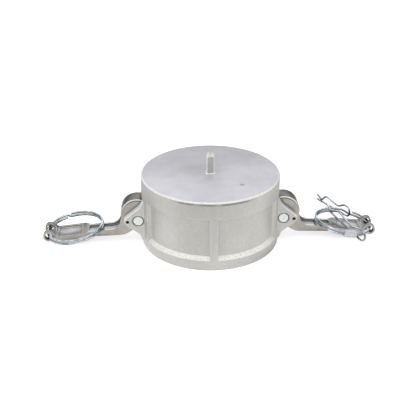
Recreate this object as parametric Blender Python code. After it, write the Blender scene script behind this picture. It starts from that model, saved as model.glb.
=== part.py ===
# Camlock dust cap for a 3 inch (DN80) cam and groove adapter.
# A cast cup closes over the adapter, two cam levers pull it on, and each
# lever carries a split finger ring. Two spring clips hang on one ring.
# The mouth rim stands on z = 0 and the levers reach out along X.
import bpy
import bmesh
from math import acos, asin, ceil, cos, degrees, hypot, pi, radians, sin
from mathutils import Matrix, Vector

MM = 0.001
FIT = 0.3                    # gap left between separate pieces

# Adapter and gasket that the cap is made for
ADAPTER_DIAMETER = 91.6
BORE_PLAY = 0.3              # radial play of the adapter in the bore
GASKET_LIP = 1.1             # gasket reaches this far past the bore, into its groove
GASKET_WIDTH = 9.1
GASKET_THICK = 6.35
GASKET_CHAMFER = 0.6

# Cast cup
CAP_HEIGHT = 56.3
WALL = 7.6                   # at the plain upper band
END_THICK = 5.5              # closed end
TOP_CHAMFER = 0.7
MOUTH_CHAMFER = 1.6
RIM_HEIGHT = 8.3
PANEL_DEPTH = 2.6
LEDGE_RISE = 2.8             # sloping ledge under each panel
PANEL_TOP = 42.4
PANEL_TOP_SLOPE = 0.8
RIB_WIDTH = 5.9
PANEL_END = radians(66.0)    # from the front or back centre line

# Cast tab on the closed end
TAB_WIDTH = 6.0              # side to side
TAB_DEPTH = 8.0              # front to back, and the width of its round top
TAB_HEIGHT = 16.0
TAB_EDGE = 1.2
TAB_FOOT = 1.3               # fillet where it leaves the end face

# Ears and pivots
PIVOT_OUT = 2.7              # pivot axis outside the plain band
PIVOT_HEIGHT = 22.1
PIN_DIAMETER = 7.9
EAR_THICK = 7.8
PIN_SINK = 0.15              # pin ends lie this far inside the ear faces
COUNTERBORE_DEPTH = 0.8
COUNTERBORE_STEP = 0.35
CLIP_HOLE_DIAMETER = 2.7
CLIP_HOLE = (8.2, -0.8)      # from the pivot: outwards, upwards
EAR_TIP_RADIUS = 3.0
EAR_HEAD = 18.0              # height above the pivot where the ear meets the wall
EAR_TOP = ((-3.1, 14.6), (-1.1, 11.0), (3.7, 6.8))
EAR_UNDER = ((5.2, -7.2), (1.2, -10.0), (-1.6, -13.0), (-2.6, -16.2))
EAR_FOOT = -19.0
EAR_ROOT = 1.0               # depth of the ear's root in the wall

# Cam lever, from the pivot: outwards, upwards
LEVER_WIDTH = 12.6
CAM_CENTRE = (0.8, 2.0)
CAM_RADIUS = 12.9
CAM_FLAT_CLEAR = 0.7         # open cam stays this far outside the bore
ARM_FILLET = 8.0
ARM_FILLET_OUT = 0.6         # fillet starts this far outside the cam
ARM_TOP = -11.1
ARM_TOP_END = -12.7          # where the grip starts
ARM_BOTTOM = -16.2
ARM_BOTTOM_END = -16.8
ARM_HEEL = ((14.5, 0.0), (11.2, 0.5), (8.2, 1.9), (4.6, 4.4))  # outwards, above the arm's bottom
ARM_LENGTH = 41.0            # where the arm opens out into the grip
GRIP_FLARE = (4.0, 2.6)      # before and after that point
GRIP_CORNER = 3.0
GRIP_WIDTH = 19.0
TIP_WIDTH = 17.2
GRIP_TOP = -15.0             # at the fork
GRIP_BOTTOM = -18.4
EYE = (70.7, -15.0)
EYE_PLAY = 0.7               # round the two turns of the ring
LUG_WALL = 1.25
FORK_WIDTH = 9.6
FORK_DEPTH = 5.2             # from the eye towards the grip
CHANNEL_DEPTH = 1.5
RIM_WALL = 1.7
POCKET_WALL = 2.1
POCKET_DEPTH = 1.5
POCKET_START = 45.5
POCKET_END = 63.0

# Split rings
RING_RADIUS = 21.8           # to the wire's centre line
RING_WIRE = 1.8
RING_SET = 1.0               # the ring hangs this far out of the eye's centre
RING_LIFT = 0.25             # more room over the arm's rims, for the ring's lean
RING_JOG = radians(12.0)     # half the turn over which the wire changes level
RING_GAP = radians(3.0)      # half the gap between the wire's ends
RING_STEP = radians(11.0)
# Sideways lean of each ring, and where its wire ends
RINGS = {"right": {"lean": radians(-2.3), "split": radians(72.0)},
         "left": {"lean": radians(-2.5), "split": radians(-72.0)}}

# Spring clips on the right ring
CLIP_WIRE = 1.6
CLIP_HEAD = 4.2              # head radius, to the wire's centre line
CLIP_LENGTH = 43.0
CLIP_WAVE = ((0.10, 3.6), (0.27, 0.4), (0.45, 1.1), (0.64, 2.3), (0.74, 0.9))
CLIP_PINCH_AT = 0.84
CLIP_END = 0.0               # height of the waved leg's end
# Where each clip hangs round the ring, and how its legs point
CLIP_PLACES = {
    "upper_clip": {"at": radians(70.0), "outset": 0.0, "lift": 0.8,
                   "yaw": radians(114.0), "droop": radians(4.6)},
    "lower_clip": {"at": radians(-67.0), "outset": 3.5, "lift": 0.4,
                   "yaw": radians(120.0), "droop": radians(-13.3)}}

# Crimped sleeve on the right ring
SLEEVE_WALL = 0.5
SLEEVE_LENGTH = 9.4
SLEEVE_AT = radians(-86.0)

CAST_STEPS = 72
ROUND_STEPS = 24
CUT = 3.0                    # tools run this far past the faces they cut

bore_radius = ADAPTER_DIAMETER / 2 + BORE_PLAY
band_radius = bore_radius + WALL
panel_radius = band_radius - PANEL_DEPTH
gasket_outer = bore_radius + GASKET_LIP
gasket_inner = gasket_outer - GASKET_WIDTH
gasket_top = CAP_HEIGHT - END_THICK - FIT
gasket_bottom = gasket_top - GASKET_THICK
pivot_reach = band_radius + PIVOT_OUT
pin_hole_radius = PIN_DIAMETER / 2 + FIT
ear_inner = LEVER_WIDTH / 2 + FIT
ear_outer = ear_inner + EAR_THICK
cam_flat = bore_radius + CAM_FLAT_CLEAR - pivot_reach
ring_pitch = RING_WIRE + FIT
ring_half_height = (ring_pitch + RING_WIRE) / 2
eye_radius = hypot(ring_half_height, RING_WIRE / 2) + EYE_PLAY
lug_radius = eye_radius + LUG_WALL
fork_start = EYE[0] - FORK_DEPTH
grip_end = fork_start - LUG_WALL


def clear_scene():
    for old in list(bpy.data.objects):
        bpy.data.objects.remove(old)


def metal(name, colour, roughness, metallic=1.0):
    material = bpy.data.materials.new(name)
    material.use_nodes = True
    shader = material.node_tree.nodes["Principled BSDF"]
    shader.inputs["Base Color"].default_value = (*colour, 1.0)
    shader.inputs["Roughness"].default_value = roughness
    shader.inputs["Metallic"].default_value = metallic
    return material


def link(name, data, material=None):
    item = bpy.data.objects.new(name, data)
    bpy.context.scene.collection.objects.link(item)
    if material:
        data.materials.append(material)
    return item


def finish(bm, name, material=None):
    """Turn a closed bmesh in millimetres into an object in metres."""
    bmesh.ops.scale(bm, vec=(MM, MM, MM), verts=bm.verts)
    bmesh.ops.recalc_face_normals(bm, faces=bm.faces)
    mesh = bpy.data.meshes.new(name)
    bm.to_mesh(mesh)
    bm.free()
    mesh.shade_smooth()
    mesh.set_sharp_from_angle(angle=radians(32))
    return link(name, mesh, material)


def spun(name, profile, steps, start=0.0, angle=2 * pi, material=None):
    """Turn a closed (radius, height) profile about Z."""
    bm = bmesh.new()
    verts = [bm.verts.new((r * cos(start), r * sin(start), z)) for r, z in profile]
    face = bm.faces.new(verts)
    whole = angle > 2 * pi - 1e-6
    if whole:
        edges = list(face.edges)
        bmesh.ops.delete(bm, geom=[face], context="FACES_ONLY")
        bmesh.ops.spin(bm, geom=verts + edges, cent=(0, 0, 0), axis=(0, 0, 1), dvec=(0, 0, 0),
                       angle=angle, steps=steps, use_merge=True)
        bmesh.ops.remove_doubles(bm, verts=bm.verts, dist=1e-4)
        bmesh.ops.dissolve_degenerate(bm, edges=bm.edges, dist=1e-5)
    else:
        first = bmesh.ops.duplicate(bm, geom=[face])
        cap = [item for item in first["geom"] if isinstance(item, bmesh.types.BMFace)]
        bmesh.ops.reverse_faces(bm, faces=cap)
        bmesh.ops.spin(bm, geom=verts + list(face.edges) + [face], cent=(0, 0, 0), axis=(0, 0, 1),
                       dvec=(0, 0, 0), angle=angle, steps=steps)
        bmesh.ops.remove_doubles(bm, verts=bm.verts, dist=1e-4)
    return finish(bm, name, material)


def prism(name, outline, near, far, material=None):
    """Extrude an (x, z) outline along Y."""
    bm = bmesh.new()
    face = bm.faces.new([bm.verts.new((x, near, z)) for x, z in outline])
    grown = bmesh.ops.extrude_face_region(bm, geom=[face])
    moved = [item for item in grown["geom"] if isinstance(item, bmesh.types.BMVert)]
    bmesh.ops.translate(bm, vec=(0, far - near, 0), verts=moved)
    return finish(bm, name, material)


def plate(name, outline, low, high):
    """Extrude an (x, y) outline along Z."""
    bm = bmesh.new()
    face = bm.faces.new([bm.verts.new((x, y, low)) for x, y in outline])
    grown = bmesh.ops.extrude_face_region(bm, geom=[face])
    moved = [item for item in grown["geom"] if isinstance(item, bmesh.types.BMVert)]
    bmesh.ops.translate(bm, vec=(0, 0, high - low), verts=moved)
    return finish(bm, name)


def cross_bar(name, centre, radius, half_length, steps=ROUND_STEPS, material=None, chamfer=0.0):
    """Round bar along Y through an (x, z) centre."""
    bm = bmesh.new()
    bmesh.ops.create_cone(bm, cap_ends=True, segments=steps, radius1=radius, radius2=radius,
                          depth=2 * half_length)
    if chamfer:
        rims = [edge for edge in bm.edges if abs(edge.verts[0].co.z - edge.verts[1].co.z) < 1e-6]
        bmesh.ops.bevel(bm, geom=rims, offset=chamfer, segments=2, profile=0.5, affect="EDGES")
    bmesh.ops.rotate(bm, matrix=Matrix.Rotation(pi / 2, 3, "X"), verts=bm.verts)
    bmesh.ops.translate(bm, vec=(centre[0], 0, centre[1]), verts=bm.verts)
    return finish(bm, name, material)


def arc(centre, radius, start, end, steps):
    """Points along an arc, both ends included, angles in degrees."""
    turn = [radians(start + (end - start) * k / steps) for k in range(steps + 1)]
    return [(centre[0] + radius * cos(a), centre[1] + radius * sin(a)) for a in turn]


def combine(item, tool, operation):
    """Cut, join or trim with a hidden tool, which follows its piece."""
    tool.hide_render = True
    tool.display_type = "WIRE"
    tool.parent = item
    modifier = item.modifiers.new(tool.name, "BOOLEAN")
    modifier.operation = operation
    modifier.solver = "EXACT"
    modifier.object = tool


def rounded_box_outline(x0, x1, z0, z1, radius, steps=4):
    return (arc((x1 - radius, z1 - radius), radius, 0, 90, steps)
            + arc((x0 + radius, z1 - radius), radius, 90, 180, steps)
            + arc((x0 + radius, z0 + radius), radius, 180, 270, steps)
            + arc((x1 - radius, z0 + radius), radius, 270, 360, steps))


def wire(name, points, diameter, material):
    """Round wire through points given in millimetres."""
    curve = bpy.data.curves.new(name, "CURVE")
    curve.dimensions = "3D"
    curve.bevel_depth = diameter / 2 * MM
    curve.bevel_resolution = 2
    curve.use_fill_caps = True
    spline = curve.splines.new("POLY")
    spline.points.add(len(points) - 1)
    for target, point in zip(spline.points, points):
        target.co = (*(value * MM for value in point), 1.0)
    return link(name, curve, material)


def smooth_through(knots, per_span):
    """Catmull-Rom curve through (x, z) knots."""
    ends = [knots[0]] + list(knots) + [knots[-1]]
    line = []
    for k in range(1, len(ends) - 2):
        a, b, c, d = (Vector(ends[k + step]) for step in (-1, 0, 1, 2))
        for step in range(per_span):
            t = step / per_span
            line.append(0.5 * (2 * b + (c - a) * t + (2 * a - 5 * b + 4 * c - d) * t * t
                               + (3 * b - a - 3 * c + d) * t ** 3))
    line.append(Vector(ends[-2]))
    return [tuple(point) for point in line]


def ear_outline():
    """Side view of an ear on the right, from the pivot: outwards, upwards."""
    root = panel_radius - pivot_reach - EAR_ROOT
    tip = arc(CLIP_HOLE, EAR_TIP_RADIUS, 48, -62, 6)
    return [(root, EAR_HEAD), *EAR_TOP, *tip, *EAR_UNDER, (root, EAR_FOOT)]


def cap_window():
    """Heights of the opening that the cam swings through."""
    swing = hypot(*CAM_CENTRE)
    low = PIVOT_HEIGHT + CAM_CENTRE[0] - CAM_RADIUS
    high = PIVOT_HEIGHT + swing + CAM_RADIUS
    return low - 2 * FIT, high + 2 * FIT


def build_tab():
    """Round-topped tab, rooted in the closed end and widened at its foot."""
    half = TAB_DEPTH / 2
    foot = half + TAB_FOOT
    outline = (arc((0, CAP_HEIGHT + TAB_HEIGHT - half), half, 0, 180, 12)
               + [(-half, CAP_HEIGHT + TAB_FOOT), (-foot, CAP_HEIGHT), (-foot, CAP_HEIGHT - CUT),
                  (foot, CAP_HEIGHT - CUT), (foot, CAP_HEIGHT), (half, CAP_HEIGHT + TAB_FOOT)])
    tab = prism("tab_tool", outline, -TAB_WIDTH / 2, TAB_WIDTH / 2)
    for vert in tab.data.vertices:
        if vert.co.z < (CAP_HEIGHT + TAB_FOOT / 2) * MM:
            vert.co.y *= 1 + 2 * TAB_FOOT / TAB_WIDTH
    edge = tab.modifiers.new("rounded_edges", "BEVEL")
    edge.width = TAB_EDGE * MM
    edge.segments = 2
    edge.angle_limit = radians(50)
    tab.rotation_euler.z = pi / 2
    return tab


def build_cap_body(material):
    top = CAP_HEIGHT
    seat = CAP_HEIGHT - END_THICK
    recess = gasket_outer + FIT
    profile = [
        (0.0, top),
        (band_radius - TOP_CHAMFER, top), (band_radius, top - TOP_CHAMFER),
        (band_radius, TOP_CHAMFER), (band_radius - TOP_CHAMFER, 0.0),
        (bore_radius + MOUTH_CHAMFER, 0.0), (bore_radius, MOUTH_CHAMFER),
        (bore_radius, gasket_bottom - FIT), (recess, gasket_bottom - FIT),
        (recess, seat), (0.0, seat)]
    body = spun("cap_body", profile, CAST_STEPS, material=material)
    combine(body, build_tab(), "UNION")

    for side, turn in (("right", 0.0), ("left", pi)):
        for place, y in (("front", -ear_outer), ("back", ear_inner)):
            outline = [(pivot_reach + u, PIVOT_HEIGHT + w) for u, w in ear_outline()]
            ear = prism(f"{side}_{place}_ear_tool", outline, y, y + EAR_THICK)
            ear.rotation_euler.z = turn
            combine(body, ear, "UNION")

    half_rib = asin(RIB_WIDTH / 2 / band_radius)
    outside = band_radius + CUT
    fall = (outside - panel_radius) * LEDGE_RISE / PANEL_DEPTH
    climb = PANEL_TOP_SLOPE * (outside - panel_radius) / PANEL_DEPTH
    section = [(panel_radius, RIM_HEIGHT + LEDGE_RISE), (outside, RIM_HEIGHT + LEDGE_RISE - fall),
               (outside, PANEL_TOP + climb - PANEL_TOP_SLOPE), (panel_radius, PANEL_TOP - PANEL_TOP_SLOPE)]
    span = PANEL_END - half_rib
    for place, middle in (("front", -pi / 2), ("back", pi / 2)):
        for side, start in (("right", middle + half_rib), ("left", middle - PANEL_END)):
            panel = spun(f"{place}_{side}_panel_tool", section, 14, start, span)
            combine(body, panel, "DIFFERENCE")

    low, high = cap_window()
    for side, turn in (("right", 0.0), ("left", pi)):
        window = prism(f"{side}_window_tool",
                       [(bore_radius - CUT, low), (pivot_reach, low), (pivot_reach, high),
                        (bore_radius - CUT, high)], -ear_inner, ear_inner)
        window.rotation_euler.z = turn
        combine(body, window, "DIFFERENCE")
        pivot = (pivot_reach, PIVOT_HEIGHT)
        bore = cross_bar(f"{side}_pin_bore_tool", pivot, pin_hole_radius, ear_outer + CUT)
        bore.rotation_euler.z = turn
        combine(body, bore, "DIFFERENCE")
        hole_at = (pivot[0] + CLIP_HOLE[0], pivot[1] + CLIP_HOLE[1])
        hole = cross_bar(f"{side}_clip_hole_tool", hole_at, CLIP_HOLE_DIAMETER / 2, ear_outer + CUT, 12)
        hole.rotation_euler.z = turn
        combine(body, hole, "DIFFERENCE")
        for place, sign in (("front", -1), ("back", 1)):
            sink = cross_bar(f"{side}_{place}_counterbore_tool", pivot,
                             pin_hole_radius + COUNTERBORE_STEP, COUNTERBORE_DEPTH)
            sink.location.y = sign * ear_outer * MM
            sink.rotation_euler.z = turn
            combine(body, sink, "DIFFERENCE")
    return body


def build_gasket(material):
    outer, inner, c = gasket_outer, gasket_inner, GASKET_CHAMFER
    return spun("gasket", [
        (outer - c, gasket_top), (outer, gasket_top - c), (outer, gasket_bottom + c),
        (outer - c, gasket_bottom), (inner + c, gasket_bottom), (inner, gasket_bottom + c),
        (inner, gasket_top - c), (inner + c, gasket_top)], 48, material=material)


def arm_top_line():
    """Upper edge of the lever from the cam down to the fork."""
    fillet_centre = (CAM_CENTRE[0] + CAM_RADIUS + ARM_FILLET + ARM_FILLET_OUT, ARM_TOP + ARM_FILLET)
    return (arc(CAM_CENTRE, CAM_RADIUS, 20, -10, 3)
            + arc(fillet_centre, ARM_FILLET, 190, 270, 6)
            + [(ARM_LENGTH, ARM_TOP_END), (grip_end, GRIP_TOP)])


def lever_outline():
    flat_turn = degrees(acos((cam_flat - CAM_CENTRE[0]) / CAM_RADIUS))
    crown = arc(CAM_CENTRE, CAM_RADIUS, flat_turn, 26, 12)
    lug = arc(EYE, lug_radius, 120, -110, 12)
    under = [(grip_end, GRIP_BOTTOM), (ARM_LENGTH - GRIP_FLARE[0], ARM_BOTTOM_END)]
    under += [(u, ARM_BOTTOM + w) for u, w in ARM_HEEL]
    return crown + arm_top_line() + lug + under + arc(CAM_CENTRE, CAM_RADIUS, -92, -flat_turn, 4)


def grip_plan():
    """Top view of the lever: narrow at the cam, wide at the grip."""
    arm = LEVER_WIDTH / 2
    grip = GRIP_WIDTH / 2
    start = ARM_LENGTH - GRIP_FLARE[0]
    half = ([(-CAM_RADIUS - CUT, arm), (start, arm)]
            + arc((start, arm + GRIP_CORNER), GRIP_CORNER, 270, 315, 3)[1:]
            + arc((ARM_LENGTH + GRIP_FLARE[1], grip - GRIP_CORNER), GRIP_CORNER, 135, 90, 3)
            + [(EYE[0] + lug_radius + CUT, TIP_WIDTH / 2)])
    return half + [(x, -y) for x, y in reversed(half)]


def channel_outline():
    """Strip along the arm's upper edge, cut to a shallow channel."""
    line = [Vector(point) for point in arm_top_line()[1:-1]]
    line[-1] += (line[-2] - line[-1]).normalized() * RIM_WALL
    inner = []
    outer = []
    for k, point in enumerate(line):
        back = line[max(k - 1, 0)]
        ahead = line[min(k + 1, len(line) - 1)]
        run = hypot(ahead[0] - back[0], ahead[1] - back[1])
        normal = (-(ahead[1] - back[1]) / run, (ahead[0] - back[0]) / run)
        inner.append((point[0] - CHANNEL_DEPTH * normal[0], point[1] - CHANNEL_DEPTH * normal[1]))
        outer.append((point[0] + CUT * normal[0], point[1] + CUT * normal[1]))
    return outer + inner[::-1]


def build_lever(side, turn, material):
    lever = prism(f"{side}_lever", lever_outline(), -GRIP_WIDTH, GRIP_WIDTH, material)
    lever.location = (cos(turn) * pivot_reach * MM, 0, PIVOT_HEIGHT * MM)
    lever.rotation_euler.z = turn
    tall = 2 * CAM_RADIUS
    combine(lever, plate(f"{side}_lever_plan_tool", grip_plan(), -tall, tall), "INTERSECT")

    channel = LEVER_WIDTH / 2 - RIM_WALL
    combine(lever, prism(f"{side}_channel_tool", channel_outline(), -channel, channel), "DIFFERENCE")

    pocket = GRIP_WIDTH / 2 - POCKET_WALL
    slope = (GRIP_TOP - ARM_TOP_END) / (grip_end - ARM_LENGTH)
    floor = [(u, ARM_TOP_END + slope * (u - ARM_LENGTH) - POCKET_DEPTH) for u in (POCKET_START, POCKET_END)]
    sides = floor + [(POCKET_END, 0), (POCKET_START, 0)]
    combine(lever, prism(f"{side}_pocket_tool", sides, -pocket, pocket), "DIFFERENCE")

    notch = rounded_box_outline(fork_start, EYE[0] + 2 * lug_radius, -FORK_WIDTH / 2, FORK_WIDTH / 2, 1.5, 3)
    combine(lever, plate(f"{side}_fork_tool", notch, -tall, 0), "DIFFERENCE")
    combine(lever, cross_bar(f"{side}_lever_bore_tool", (0, 0), pin_hole_radius, GRIP_WIDTH), "DIFFERENCE")
    combine(lever, cross_bar(f"{side}_eye_tool", EYE, eye_radius, GRIP_WIDTH, 20), "DIFFERENCE")
    locked = (CLIP_HOLE[1], -CLIP_HOLE[0])
    combine(lever, cross_bar(f"{side}_lock_hole_tool", locked, CLIP_HOLE_DIAMETER / 2, GRIP_WIDTH, 12),
            "DIFFERENCE")
    return lever


def build_pin(side, turn, material):
    pin = cross_bar(f"{side}_pivot_pin", (0, 0), PIN_DIAMETER / 2, ear_outer - PIN_SINK,
                    material=material, chamfer=0.5)
    pin.location = (cos(turn) * pivot_reach * MM, 0, PIVOT_HEIGHT * MM)
    return pin


def ring_tilt():
    """Angle at which a ring lies from its eye onto the arm's rims."""
    reach = 2 * RING_RADIUS - RING_SET
    rise = ARM_TOP + FIT + RING_LIFT + ring_half_height - EYE[1]
    return asin(rise / reach)


def ring_point(turn, level=0.0):
    """Point of the ring's centre line, from the eye."""
    centre = RING_SET - RING_RADIUS
    return (centre + RING_RADIUS * cos(turn), RING_RADIUS * sin(turn), level)


def build_ring(side, lever, material):
    """Wire wound twice round, with its two ends facing each other above one another."""
    start = RINGS[side]["split"] + RING_JOG + RING_GAP
    whole = 4 * pi - 2 * (RING_JOG + RING_GAP)
    change = 2 * pi - 2 * RING_JOG - RING_GAP
    count = ceil(whole / RING_STEP)
    points = []
    for k in range(count + 1):
        run = whole * k / count
        blend = min(max((run - change) / (2 * RING_JOG), 0.0), 1.0)
        blend = blend * blend * (3 - 2 * blend)
        points.append(ring_point(start + run, ring_pitch * (blend - 0.5)))
    ring = wire(f"{side}_ring", points, RING_WIRE, material)
    ring.parent = lever
    ring.location = (EYE[0] * MM, 0, EYE[1] * MM)
    ring.rotation_euler = (RINGS[side]["lean"], ring_tilt(), 0)
    return ring


def clip_points():
    """Straight leg, round head and waved leg, in the clip's own plane."""
    low = -CLIP_HEAD
    pinch = low + CLIP_WIRE + FIT
    head = arc((0, 0), CLIP_HEAD, 270, 90, 14)
    knots = ([(0, CLIP_HEAD)] + [(CLIP_LENGTH * share, height) for share, height in CLIP_WAVE]
             + [(CLIP_LENGTH * CLIP_PINCH_AT, pinch), (CLIP_LENGTH, CLIP_END)])
    straight = [(CLIP_LENGTH, low), (CLIP_LENGTH / 2, low)]
    waved = smooth_through(knots, 4)
    return [(x, 0, z) for x, z in straight + head + waved[1:]]


def build_clip(name, ring, place, material):
    """Hang a clip on the ring, by a hinge empty on the ring's centre line."""
    hinge = link(f"{name}_hinge", None)
    hinge.parent = ring
    hinge.location = Vector(ring_point(place["at"])) * MM
    clip = wire(name, clip_points(), CLIP_WIRE, material)
    clip.parent = hinge
    out = place["outset"]
    clip.location = Vector((out * cos(place["at"]), out * sin(place["at"]), place["lift"])) * MM
    aim = Matrix.Rotation(place["yaw"], 3, "Z") @ Matrix.Rotation(place["droop"], 3, "Y")
    clip.rotation_euler = (ring.rotation_euler.to_matrix().inverted() @ aim).to_euler()
    return clip


def build_sleeve(ring, material):
    """Curved sleeve pressed round both turns of the ring."""
    inner = RING_WIRE / 2 + FIT
    outer = inner + SLEEVE_WALL
    half = ring_half_height + FIT
    span = SLEEVE_LENGTH / RING_RADIUS
    centre = RING_RADIUS
    shell = spun("crimp_sleeve", [
        (centre - outer, -half - SLEEVE_WALL), (centre + outer, -half - SLEEVE_WALL),
        (centre + outer, half + SLEEVE_WALL), (centre - outer, half + SLEEVE_WALL)],
        6, SLEEVE_AT - span / 2, span, material)
    bore = spun("sleeve_bore_tool", [
        (centre - inner, -half), (centre + inner, -half), (centre + inner, half), (centre - inner, half)],
        10, SLEEVE_AT - span, 2 * span)
    combine(shell, bore, "DIFFERENCE")
    shell.parent = ring
    shell.location = ((RING_SET - RING_RADIUS) * MM, 0, 0)
    return shell


def build_all():
    clear_scene()
    cast = metal("cast_steel", (0.52, 0.51, 0.49), 0.45)
    polished = metal("polished_casting", (0.42, 0.39, 0.36), 0.25)
    pin_steel = metal("pin_steel", (0.80, 0.80, 0.80), 0.30)
    plated_wire = metal("plated_wire", (0.62, 0.66, 0.70), 0.18)
    sleeve_metal = metal("sleeve_aluminium", (0.70, 0.70, 0.72), 0.40)
    rubber = metal("gasket_rubber", (0.02, 0.02, 0.02), 0.70, 0.0)

    build_cap_body(cast)
    build_gasket(rubber)
    rings = {}
    for side, turn in (("right", 0.0), ("left", pi)):
        lever = build_lever(side, turn, polished)
        build_pin(side, turn, pin_steel)
        rings[side] = build_ring(side, lever, plated_wire)
    for name, place in CLIP_PLACES.items():
        build_clip(name, rings["right"], place, plated_wire)
    build_sleeve(rings["right"], sleeve_metal)


build_all()
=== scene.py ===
# Camlock dust cap: castings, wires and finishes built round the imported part
from math import acos, asin, atan2, ceil, cos, degrees, hypot, pi, radians, sin, tau

import bmesh
import bpy
from bmesh.types import BMEdge, BMFace, BMVert
from mathutils import Matrix, Vector


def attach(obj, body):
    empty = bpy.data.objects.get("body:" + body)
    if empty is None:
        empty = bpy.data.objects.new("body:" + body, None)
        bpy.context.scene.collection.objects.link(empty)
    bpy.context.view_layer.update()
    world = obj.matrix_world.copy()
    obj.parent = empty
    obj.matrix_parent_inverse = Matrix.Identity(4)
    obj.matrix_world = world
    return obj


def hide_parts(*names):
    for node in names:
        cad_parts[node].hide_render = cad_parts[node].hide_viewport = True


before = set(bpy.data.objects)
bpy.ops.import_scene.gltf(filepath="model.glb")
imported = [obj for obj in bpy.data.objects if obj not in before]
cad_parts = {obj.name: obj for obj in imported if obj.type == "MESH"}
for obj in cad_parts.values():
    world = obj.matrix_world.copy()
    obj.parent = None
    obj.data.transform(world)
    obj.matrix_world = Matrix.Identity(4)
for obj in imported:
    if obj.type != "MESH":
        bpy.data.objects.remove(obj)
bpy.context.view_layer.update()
scene = bpy.context.scene
mm = 0.001
fit = 0.3  # gap between separate pieces, in millimetres
past = 3  # how far a cutting block reaches beyond what it cuts, in millimetres

# The camera stands where the photograph was taken from
shot = {"azimuth": -2.99, "elevation": 27.18, "distance": 644.6, "aim": (-1.72, 0, 24.95),
        "lens": 70.76, "sensor": 36, "roll": 0.15}


def wayTo(azimuth, elevation):
    side, rise = radians(azimuth), radians(elevation)
    return Vector((sin(side) * cos(rise), -cos(side) * cos(rise), sin(rise)))


def placeCamera():
    data = bpy.data.cameras.new("photoCamera")
    data.lens = shot["lens"]
    data.sensor_width = shot["sensor"]
    data.clip_start, data.clip_end = 0.01, 20
    camera = bpy.data.objects.new("photoCamera", data)
    scene.collection.objects.link(camera)
    back = wayTo(shot["azimuth"], shot["elevation"])
    camera.location = (Vector(shot["aim"]) + back * shot["distance"]) * mm
    camera.rotation_mode = "QUATERNION"
    camera.rotation_quaternion = (-back).to_track_quat("-Z", "Y") @ Matrix.Rotation(
        radians(shot["roll"]), 3, "Z").to_quaternion()
    scene.camera = camera


placeCamera()


# Small helpers for materials

def hexColour(text):
    parts = [int(text[k:k + 2], 16) / 255 for k in (1, 3, 5)]
    return (*[c / 12.92 if c <= 0.04045 else ((c + 0.055) / 1.055) ** 2.4 for c in parts], 1)


# A node given as a value stands for its first output in use, and a text for a colour
def plugIn(tree, node, inputs):
    pairs = inputs.items() if isinstance(inputs, dict) else enumerate(inputs)
    for name, value in pairs:
        if isinstance(value, bpy.types.Node):
            value = next(socket for socket in value.outputs if socket.enabled)
        if isinstance(value, bpy.types.NodeSocket):
            tree.links.new(value, node.inputs[name])
        else:
            node.inputs[name].default_value = hexColour(value) if isinstance(value, str) else value


def addNode(tree, kind, inputs=(), **settings):
    node = tree.nodes.new("ShaderNode" + kind)
    for name, value in settings.items():
        setattr(node, name, value)
    plugIn(tree, node, inputs)
    return node


def startMaterial(name, metallic, roughness):
    material = bpy.data.materials.new(name)
    material.use_nodes = True
    tree = material.node_tree
    shader = tree.nodes["Principled BSDF"]
    plugIn(tree, shader, {"Metallic": metallic, "Roughness": roughness})
    place = addNode(tree, "TexCoord").outputs["Object"]
    return material, tree, shader, place


def grainScale(size):
    return 1 / (size * mm)  # noise scale for a feature of that many millimetres


def inMetres(values):
    return [value * mm for value in values]


# The two tones of a finish in patches of one size: a fine or cloudy mottling
def mottle(tree, place, look):
    noise = addNode(tree, "TexNoise", {"Vector": place, "Scale": grainScale(look["patch"]),
                                       "Detail": look["detail"]})
    tone = addNode(tree, "MapRange", (noise, *look["tone"]))
    return noise, addNode(tree, "Mix", {0: tone, 6: look["shade"], 7: look["colour"]}, data_type="RGBA")


# Rounded normals soften every cast corner. Where they turn most, the edge is rubbed bright, unless it is
# shut in, and where the surface is shut in it is darkened with dirt and painted shade
def wearCasting(tree, place, look, base):
    soft = addNode(tree, "Bevel", {"Radius": look["rounding"] * mm}, samples=6)
    plain = addNode(tree, "NewGeometry").outputs["Normal"]
    turn = addNode(tree, "VectorMath", (soft, plain), operation="DOT_PRODUCT")
    wearAndShade = addNode(tree, "MapRange", (turn, *look["wornTurn"], 0, look["wornMost"]))
    hollow = addNode(tree, "AmbientOcclusion", {"Distance": look["hollowReach"] * mm}, samples=6)
    hollow = hollow.outputs["AO"]
    spared = addNode(tree, "MapRange", (hollow, *look["spared"]))
    wearAndShade = addNode(tree, "Math", (wearAndShade, spared), operation="MULTIPLY")
    edged = addNode(tree, "Mix", {0: wearAndShade, 6: base, 7: look["edge"]}, data_type="RGBA")
    # Where the surface is shut in it is darkened: dirt and painted shade
    shut = addNode(tree, "MapRange", (hollow, *look["shut"], 0, look["dirtAndShadeMost"]))
    shadedAndDirty = addNode(tree, "Mix", {0: shut, 6: edged, 7: look["dirtAndShade"]}, data_type="RGBA")
    grit = addNode(tree, "TexNoise", {"Vector": place, "Scale": grainScale(look["grit"]), "Detail": 3})
    bump = addNode(tree, "Bump", {"Height": grit, "Distance": look["gritDepth"] * mm,
                                  "Strength": look["gritStrength"], "Normal": soft})
    return shadedAndDirty, bump


# Investment-cast stainless steel, bead blasted: a soft warm grey, cloudy, with fine grit and tumbled edges
castFinish = {"colour": "#D5D3CF", "shade": "#C8C6C1", "cloud": 24, "patch": 2.2, "tone": (0.7, 1.3),
              "metallic": 0.72, "roughness": 0.5,
              "edge": "#E9E9E5", "rounding": 1.5, "wornTurn": (0.995, 0.93), "wornMost": 0.75,
              "dirtAndShade": "#8C8A85", "hollowReach": 4, "spared": (0.45, 0.8), "shut": (0.6, 0.2),
              "dirtAndShadeMost": 0.5, "grit": 0.8, "gritDepth": 0.06, "gritStrength": 0.6,
              "frontShadeTone": 0.89, "frontShadeAt": (-8, -52, 44), "frontShadeReach": (12, 42),
              "scale": "#999896", "seam": (1.2, 0.6), "seamAt": 54.4, "seamFront": (-43, -49),
              "seamPatch": 6, "seamRagged": (0.28, 0.5)}


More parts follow.
